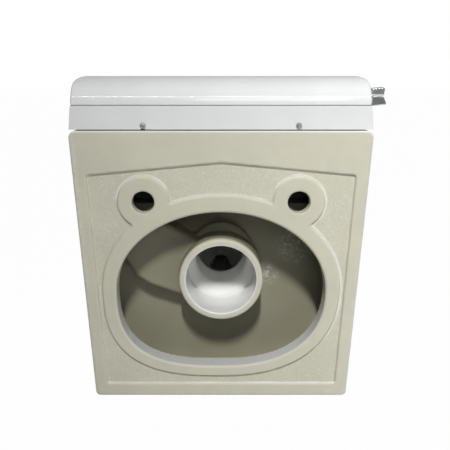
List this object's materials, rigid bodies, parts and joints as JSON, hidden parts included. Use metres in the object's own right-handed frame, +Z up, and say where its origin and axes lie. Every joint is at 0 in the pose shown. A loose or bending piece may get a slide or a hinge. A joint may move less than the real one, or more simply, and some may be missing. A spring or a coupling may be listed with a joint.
{
  "type": "wall hung toilet",
  "caption": "Wall hung pan with an oval pocket and spigot at the back, and a low seat unit with hinged seat and lid, wash nozzles and a side knob.",
  "frame": {"origin": "midway between the two wall bolts, on the wall plane", "axes": "+Y into the wall, -Y towards the sitter, +Z up, +X to the sitter's left"},
  "size_m": [0.3681, 0.54, 0.3868],
  "materials": {
    "china": "vitreous china, glossy white glaze, bare greenish-beige body at the back",
    "cover_plastic": "glossy white moulding",
    "inner_plastic": "plain grey-white moulding",
    "rubber": "grey rubber",
    "chrome": "bright chrome plate",
    "steel": "plain stainless steel",
    "brass": "machined brass"
  },
  "bodies": {
    "frame": {"pan": "china", "side_plugs": "cover_plastic", "deck_dowels": "rubber", "deck_bolts": "steel", "mounting_plate": "steel", "base_pads": "rubber", "unit_base": "cover_plastic", "rear_panel": "cover_plastic", "panel_screws": "steel", "top_cover": "cover_plastic", "left_damper": "steel", "right_damper": "steel", "knob_bezel": "chrome", "valve_cartridge": "brass", "valve_body": "brass", "supply_pipe": "steel", "inlet_fitting": "brass", "inlet_nut": "brass", "flush_pipe": "inner_plastic", "flush_seal": "rubber", "nozzle_cradle": "inner_plastic", "nozzle_hoses": "rubber"},
    "seat": {"seat_ring": "cover_plastic", "seat_buffers": "rubber"},
    "lid": {"lid": "cover_plastic", "lid_buffers": "rubber"},
    "knob": {"wash_knob": "chrome", "knob_spindle": "steel"},
    "rear_wand": {"rear_nozzle": "steel"},
    "front_wand": {"front_nozzle": "steel"}
  },
  "joints": [
    {"name": "seat_hinge", "type": "hinge", "parent": "frame", "child": "seat", "pos_m": [0, -0.118, 0.12], "axis": [-1, 0, 0], "range_deg": [0, 100]},
    {"name": "lid_hinge", "type": "hinge", "parent": "seat", "child": "lid", "pos_m": [0, -0.118, 0.12], "axis": [1, 0, 0], "range_deg": [-100, 0]},
    {"name": "knob_turn", "type": "hinge", "parent": "frame", "child": "knob", "pos_m": [0, -0.05, 0.1175], "axis": [1, 0, 0], "range_deg": [-90, 90]},
    {"name": "rear_nozzle_slide", "type": "slide", "parent": "frame", "child": "rear_wand", "axis": [0, -0.9903, -0.1392], "range_m": [0, 0.042], "stiffness_N_per_m": 20, "springref_m": -0.01},
    {"name": "front_nozzle_slide", "type": "slide", "parent": "frame", "child": "front_wand", "axis": [0, -0.9903, -0.1392], "range_m": [0, 0.042], "stiffness_N_per_m": 20, "springref_m": -0.01}
  ]
}
